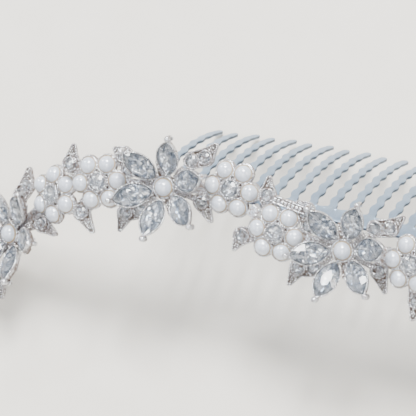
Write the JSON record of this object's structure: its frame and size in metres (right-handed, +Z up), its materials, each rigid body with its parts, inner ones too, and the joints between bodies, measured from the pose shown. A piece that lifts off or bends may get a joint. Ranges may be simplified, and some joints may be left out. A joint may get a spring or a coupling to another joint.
{
  "type": "tiara comb",
  "caption": "Bridal tiara comb: cast flowers of marquise crystals and half-round pearls in an arch on a wavy-toothed metal hair comb.",
  "frame": {"origin": "on the surface that the piece lies on, under the middle of its bounding box", "axes": "+Z up, +X from the left end to the right end as the flowers are seen, +Y from the flowers towards the comb's teeth"},
  "size_m": [0.1684, 0.0512, 0.0418],
  "materials": {
    "casting": "bright plated cast white metal with fine beaded edges",
    "comb": "satin plated sheet",
    "crystal": "clear faceted crystal with a silver foil back",
    "pearl": "milky white half-round imitation pearl with a soft lustre"
  },
  "bodies": {
    "root": {"comb": "comb", "round_stones": "crystal", "leaf_stones": "crystal", "casting_left_end": "casting", "centre_pearl_left_end": "pearl", "pearls_left_end_1": "pearl", "pearls_left_end_2": "pearl", "marquise_left_end_1": "crystal", "marquise_left_end_2": "crystal", "marquise_left_end_3": "crystal", "marquise_left_end_4": "crystal", "marquise_left_end_5": "crystal", "marquise_left_end_6": "crystal", "casting_left": "casting", "centre_pearl_left": "pearl", "pearls_left_1": "pearl", "pearls_left_2": "pearl", "marquise_left_1": "crystal", "marquise_left_2": "crystal", "marquise_left_3": "crystal", "marquise_left_4": "crystal", "marquise_left_5": "crystal", "marquise_left_6": "crystal", "casting_centre": "casting", "centre_pearl_centre": "pearl", "pearls_centre_1": "pearl", "pearls_centre_2": "pearl", "marquise_centre_1": "crystal", "marquise_centre_2": "crystal", "marquise_centre_3": "crystal", "marquise_centre_4": "crystal", "marquise_centre_5": "crystal", "marquise_centre_6": "crystal", "casting_right": "casting", "centre_pearl_right": "pearl", "pearls_right_1": "pearl", "pearls_right_2": "pearl", "marquise_right_1": "crystal", "marquise_right_2": "crystal", "marquise_right_3": "crystal", "marquise_right_4": "crystal", "marquise_right_5": "crystal", "marquise_right_6": "crystal", "casting_right_end": "casting", "centre_pearl_right_end": "pearl", "pearls_right_end_1": "pearl", "pearls_right_end_2": "pearl", "marquise_right_end_1": "crystal", "marquise_right_end_2": "crystal", "marquise_right_end_3": "crystal", "marquise_right_end_4": "crystal", "marquise_right_end_5": "crystal", "marquise_right_end_6": "crystal"}
  },
  "joints": []
}
